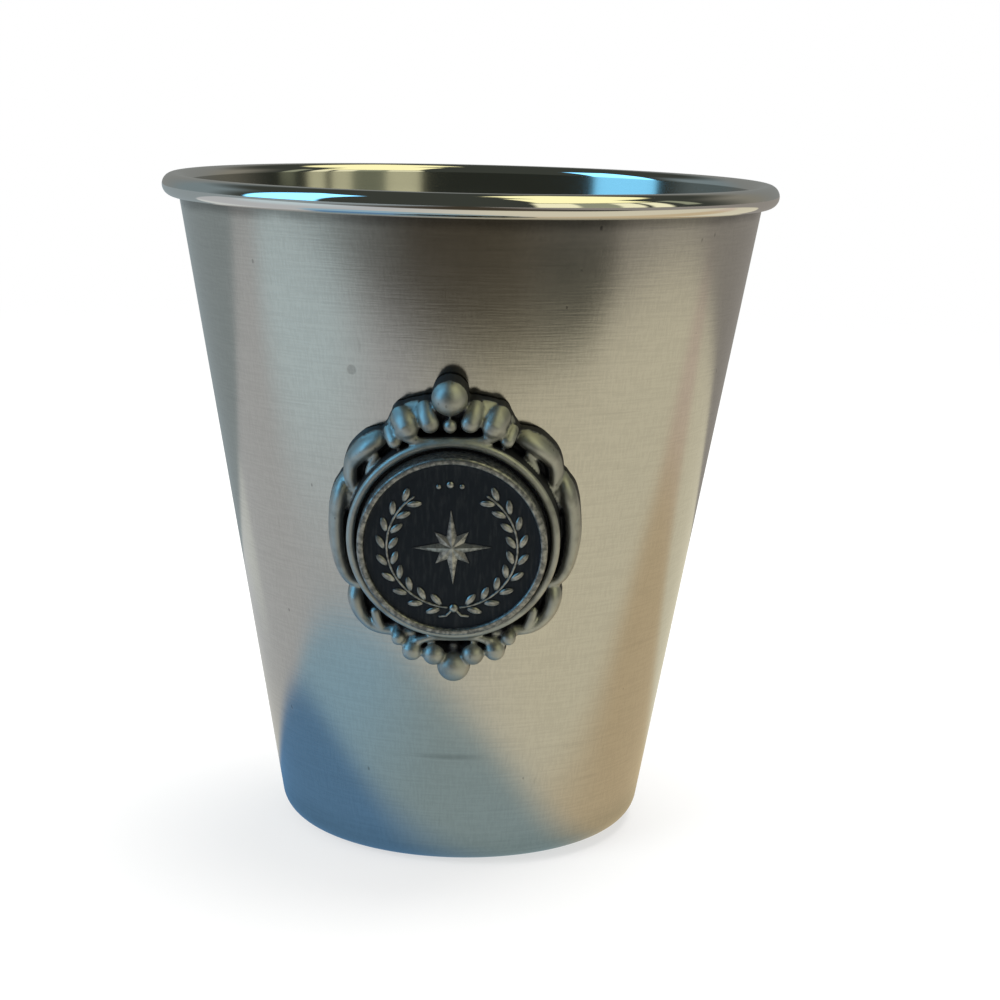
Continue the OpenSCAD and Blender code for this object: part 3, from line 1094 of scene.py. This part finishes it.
def star_mesh():
    """Ridged star of long and short points."""
    count = 2 * STAR_POINTS
    sink = GROUND_H - RELIEF_SINK
    edge = GROUND_H + STAR_EDGE * RELIEF_H
    verts = [(0, 0, GROUND_H + STAR_PEAK * RELIEF_H), (0, 0, sink)]
    for height, grow in ((edge, 1.0), (sink, STAR_FLARE)):
        for i in range(count):
            reach = STAR_R * STAR_WAIST if i % 2 else (STAR_R if i % 4 == 0 else STAR_R * STAR_SHORT)
            a = 2 * math.pi * i / count
            verts.append((grow * reach * math.sin(a), grow * reach * math.cos(a), height))
    faces = []
    for i in range(count):
        a = 2 + i
        b = 2 + (i + 1) % count
        faces += [(0, b, a), (a, b, b + count, a + count), (1, a + count, b + count)]
    mesh = plain_mesh("star", verts, [], faces)
    tidy_normals(mesh)
    return mesh


def leaf_points():
    """Places and turns of the leaves on two branches that rise from the bottom."""
    places = []
    turns = []
    for a in np.radians(np.linspace(LEAF_FIRST, LEAF_LAST, LEAF_PAIRS)):
        for side in (-1, 1):
            reach = WREATH_R + side * LEAF_SPREAD
            for hand in (1, -1):
                places.append((hand * reach * math.sin(a), reach * math.cos(a), GROUND_H))
                turns.append(hand * (math.radians(90 - side * LEAF_SPLAY) - a))
    mesh = plain_mesh("leaf_points", places, [], [])
    set_attribute(mesh, "turn", turns)
    return new_object("leaf_points", mesh)


def stem_runs():
    """Paths of the two stems and of the ribbon ends, with half widths."""
    runs = []
    for hand in (1, -1):
        angles = np.radians(np.linspace(*STEM_ENDS, STEM_STEPS))
        stem = [(hand * WREATH_R * math.sin(a), WREATH_R * math.cos(a)) for a in angles]
        ribbon = [(hand * x, y) for x, y in RIBBON]
        for path in (stem, ribbon):
            runs.append(nosed([np.array((x, y, GROUND_H, STEM_W)) for x, y in path]))
    return runs


def wreath_meshes(sweep_tree, post_tree, material):
    """Stems, ribbon ends, tie and the pearls between the tips."""
    values = {"Arch Points": 6, "Leg": 1.0, "Wall Radius": FLAT_WALL_R, "Leg Sink": RELIEF_SINK - GROUND_H}
    runs = [(run, ROUND_RISE) for run in stem_runs()]
    stems = swept("stem_paths", runs, sweep_tree, values | {"Material": material})
    domes = [(*TIE_AT, TIE_W)] + TOP_PEARLS
    points = path_object("pearl_points", [[(x, y, GROUND_H, w)] for x, y, w in domes])
    pearls = run_tree(points, post_tree, {"Segments": 24, "Post": 0.2, "Material": material})
    to_ground = Matrix.Translation((0, 0, GROUND_H))
    pearls.transform(to_ground @ Matrix.Diagonal((1, 1, PEARL_FLAT, 1)) @ to_ground.inverted())
    return [stems, pearls]


def make_disc(material, sweep_tree, post_tree):
    values = {"Length": LEAF_L, "Width": LEAF_W, "Rise": RELIEF_H, "Rib": 0.35, "Material": material}
    leaves = run_tree(leaf_points(), leaf_tree(), values)
    relief = [star_mesh(), leaves] + wreath_meshes(sweep_tree, post_tree, material)
    mesh = joined("emblem_medal", [disc_body_mesh()] + relief)
    spots = vertex_rows(mesh, "co")
    raised = np.clip(GROUND_WEAR + (spots[:, 2] - GROUND_H) / (WEAR_RISE * RELIEF_H), 0, 1)
    on_lip = np.hypot(spots[:, 0], spots[:, 1]) > DISC_R - LIP_W - LIP_SLACK
    worn = np.maximum(LIP_WEAR * raised, SIDE_WEAR)
    set_attribute(mesh, "raised", np.where(on_lip, worn, raised))
    return finished("emblem_medal", mesh, material, TO_METRES @ emblem_matrix())


# Stage

def round_sheet(name, radius, z, material):
    shape = bmesh.new()
    bmesh.ops.create_circle(shape, cap_ends=True, radius=radius, segments=SHEET_SEGMENTS)
    return finished(name, poured(name, shape), material, Matrix.Translation((0, 0, z)))


def emission_material(name):
    material, tree, _ = new_material(name)
    tree.nodes.clear()
    return material, tree


def emit(tree, colour):
    glow = first(tree, "ShaderNodeEmission", {"Color": colour})
    put(tree, "ShaderNodeOutputMaterial", {"Surface": glow})


def only_in_reflections(obj):
    for ray in ("camera", "diffuse", "shadow", "transmission", "volume_scatter"):
        setattr(obj, "visible_" + ray, False)


def seen_directly(tree):
    """1 for camera, glossy and transmission rays, 0 for the rest."""
    path = put(tree, "ShaderNodeLightPath").outputs
    seen = plus(tree, path["Is Camera Ray"], path["Is Glossy Ray"])
    seen = plus(tree, seen, path["Is Transmission Ray"])
    return math_node(tree, "MINIMUM", seen, 1.0)


def make_floor():
    material, tree = emission_material("pale_floor")
    share = ramp(tree, length(tree, object_coordinates(tree)), *FLOOR_FADE, *FLOOR_WHITE)
    factor = times(tree, seen_directly(tree), share)
    paper = first(tree, "ShaderNodeBsdfDiffuse", {"Color": PAPER})
    white = first(tree, "ShaderNodeEmission", {"Color": WHITE})
    both = first(tree, "ShaderNodeMixShader", {0: factor, 1: paper, 2: white})
    put(tree, "ShaderNodeOutputMaterial", {"Surface": both})
    floor = round_sheet("floor", FLOOR_R, FLOOR_Z, material)


def make_world():
    world = bpy.data.worlds.new("studio")
    bpy.context.scene.world = world
    world.use_nodes = True
    tree = world.node_tree
    tree.nodes.clear()
    level = ramp(tree, seen_directly(tree), 0.0, 1.0, SKY_LIGHT, 1.0)
    sky = first(tree, "ShaderNodeBackground", {"Color": WHITE, "Strength": level})
    put(tree, "ShaderNodeOutputWorld", {"Surface": sky})


def oval(tree, spot, centre, radii, soft, turn=0):
    """Mask that is 1 inside an oval on the table, in millimetres and degrees."""
    x = minus(tree, spot[0], centre[0] * MM)
    y = minus(tree, spot[1], centre[1] * MM)
    c = math.cos(math.radians(turn))
    s = math.sin(math.radians(turn))
    along = plus(tree, times(tree, x, c), times(tree, y, s))
    aside = minus(tree, times(tree, y, c), times(tree, x, s))
    along = math_node(tree, "DIVIDE", along, radii[0] * MM)
    aside = math_node(tree, "DIVIDE", aside, radii[1] * MM)
    return ramp(tree, length(tree, xyz(tree, along, aside)), 1 - soft, 1 + soft, 1.0, 0.0)


def beyond(tree, spot, level, slope, soft):
    """Mask that rises across the line y = level + slope x on the table, in millimetres."""
    line = plus(tree, times(tree, spot[0], slope), level * MM)
    return ramp(tree, minus(tree, spot[1], line), -soft * MM, soft * MM)


def make_table_card():
    """Glowing card on the floor that only reflections see: a painted table top in a dim room, with painted
    patches of light and the cup's painted shadows.
    """
    material, tree = emission_material("table_card")
    spot = parts(tree, object_coordinates(tree))
    behind = mixed_colour(tree, ramp(tree, spot[0], -0.05, 0.05), BEHIND_LEFT, BEHIND_RIGHT)
    to_side = ramp(tree, math_node(tree, "ABSOLUTE", spot[0]), 0.03, 0.19)
    to_side = math_node(tree, "MAXIMUM", to_side, ramp(tree, spot[1], -0.03, 0.06))
    far_colour = mixed_colour(tree, to_side, FAR_DARK, behind)
    far = minus(tree, 1.0, oval(tree, spot, (-18, 20), (197, 124), 0.1, 4))
    tan_colour = mixed_colour(tree, ramp(tree, spot[0], 0.05, 0.13), TABLE_TAN, TABLE_PINK)
    shadow_colour = mixed_colour(tree, ramp(tree, spot[0], -0.03, 0.0), SHADOW_LIGHT_BLUE, SHADOW_TEAL)
    to_left = ramp(tree, spot[0], -0.06, -0.038, 1.0, 0.0)
    bright = times(tree, beyond(tree, spot, -21.7, -0.9, 5), to_left)
    layers = (
        (oval(tree, spot, (-150, -60), (85, 52), 0.4), TABLE_COOL),
        (oval(tree, spot, (85, 26), (108, 15), 0.5, 22), tan_colour),
        (oval(tree, spot, (46, 9), (45, 17), 0.5, 20), TABLE_TAN),
        (bright, TABLE_BRIGHT),
        (beyond(tree, spot, 88, 0.25, 4), behind),
        (far, far_colour),
        (oval(tree, spot, (94, -98), (40, 19), 0.5, 25), FAR_SPOT),
        (oval(tree, spot, (-17, -17.5), (29.5, 23), 0.14), shadow_colour),
        (oval(tree, spot, (-18, -5.5), (20.5, 13), 0.22, -18), SHADOW_BLUE),
    )
    colour = mixed_colour(tree, ramp(tree, spot[0], -0.05, 0.03), TABLE_LEFT, TABLE_RIGHT)
    for mask, layer_colour in layers:
        colour = mixed_colour(tree, mask, colour, layer_colour)
    # Painted contact shadow round the cup's foot
    colour = mixed_colour(tree, oval(tree, spot, (0, 0), (18, 18), 0.1), colour, CONTACT_SHADOW, "MULTIPLY")
    emit(tree, colour)
    card = round_sheet("table_card", ROOM_R, CARD_Z, material)
    only_in_reflections(card)


def window(tree, azimuth, elevation, sides, heights):
    """Mask of a window in the room, between two azimuths from the front and two elevations, in degrees."""
    mask = 1.0
    for angle, (low, high) in ((azimuth, sides), (elevation, heights)):
        mask = times(tree, mask, ramp(tree, angle, low - PANE_SOFT, low + PANE_SOFT))
        mask = times(tree, mask, ramp(tree, angle, high - PANE_SOFT, high + PANE_SOFT, 1.0, 0.0))
    return mask


def make_room_card():
    """Dome that only reflections see: a dim room with windows towards the camera."""
    material, tree = emission_material("room_card")
    spot = parts(tree, object_coordinates(tree))
    ahead = times(tree, spot[1], -1.0)
    azimuth = math_node(tree, "DEGREES", math_node(tree, "ARCTAN2", spot[0], ahead))
    reach = length(tree, xyz(tree, spot[0], spot[1]))
    elevation = math_node(tree, "DEGREES", math_node(tree, "ARCTAN2", spot[2], reach))
    colour = mixed_colour(tree, ramp(tree, azimuth, -110, -86, 1.0, 0.0), ROOM_DARK, ROOM_LEFT)
    colour = mixed_colour(tree, ramp(tree, azimuth, 95, 130), colour, ROOM_RIGHT)
    colour = mixed_colour(tree, ramp(tree, spot[1], 0.8, 1.3), colour, ROOM_BACK)
    colour = mixed_colour(tree, ramp(tree, elevation, 28, 46), colour, ROOM_DARK)
    for sides, heights, pane_colour in PANES:
        colour = mixed_colour(tree, window(tree, azimuth, elevation, sides, heights), colour, pane_colour)
    emit(tree, colour)
    shape = bmesh.new()
    bmesh.ops.create_uvsphere(shape, u_segments=96, v_segments=48, radius=ROOM_R)
    below = [v for v in shape.verts if v.co.z < DOME_CUT_Z]
    bmesh.ops.delete(shape, geom=below, context="VERTS")
    dome = finished("room_card", poured("room_card", shape), material, Matrix())
    only_in_reflections(dome)


def make_lamp(name, place, size, power, colour):
    data = bpy.data.lights.new(name, "AREA")
    data.shape = "DISK"
    data.size = size
    data.energy = power
    data.color = colour
    lamp = new_object(name, data)
    lamp.location = place
    lamp.rotation_euler = (-Vector(place)).to_track_quat("-Z", "Y").to_euler()
    lamp.visible_camera = False
    lamp.visible_glossy = False


# Camera

def make_camera():
    ahead = Vector((
        math.sin(CAMERA_YAW) * math.cos(CAMERA_PITCH),
        math.cos(CAMERA_YAW) * math.cos(CAMERA_PITCH),
        -math.sin(CAMERA_PITCH),
    ))
    right = Vector((math.cos(CAMERA_YAW), -math.sin(CAMERA_YAW), 0))
    up = right.cross(ahead)
    across_axis = math.cos(CAMERA_ROLL) * right + math.sin(CAMERA_ROLL) * up
    up_axis = math.cos(CAMERA_ROLL) * up - math.sin(CAMERA_ROLL) * right
    swing = Matrix.Rotation(CAMERA_SWING, 3, "Z")
    axes = [swing @ axis for axis in (across_axis, up_axis, -ahead)]
    matrix = Matrix(axes).transposed().to_4x4()
    matrix.translation = swing @ Vector((0, -CAMERA_DIST, CAMERA_HEIGHT)) * MM
    data = bpy.data.cameras.new("camera")
    data.sensor_width = SENSOR_W
    data.lens = FOCAL_SHARE * SENSOR_W
    data.clip_start, data.clip_end = CAMERA_CLIP
    camera = new_object("camera", data)
    camera.matrix_world = matrix
    bpy.context.scene.camera = camera


make_camera()
make_world()
make_floor()
make_table_card()
make_room_card()
for lamp_values in LAMPS:
    make_lamp(*lamp_values)

CUP = make_cup(brushed_pewter())
SWEEP = arched_sweep_tree()
POSTS = domed_post_tree()
CASTING = make_frame(antiqued_casting(), SWEEP, POSTS)
MEDAL = make_disc(blackened_medal(), SWEEP, POSTS)
DRESSED = (
    (CUP, "cup_shell", "brushed_metal"),
    (CASTING, "emblem_frame", "antiqued_metal"),
    (MEDAL, "emblem_disc", "blackened_metal"),
)
for piece, node, slot_name in DRESSED:
    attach(piece, "root")
    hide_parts(node)

RESIN = cured_resin()
for node in ("emblem_adhesive", "disc_adhesive"):
    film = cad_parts[node]
    film.material_slots[0].material = RESIN

bpy.context.scene.view_settings.view_transform = "Standard"
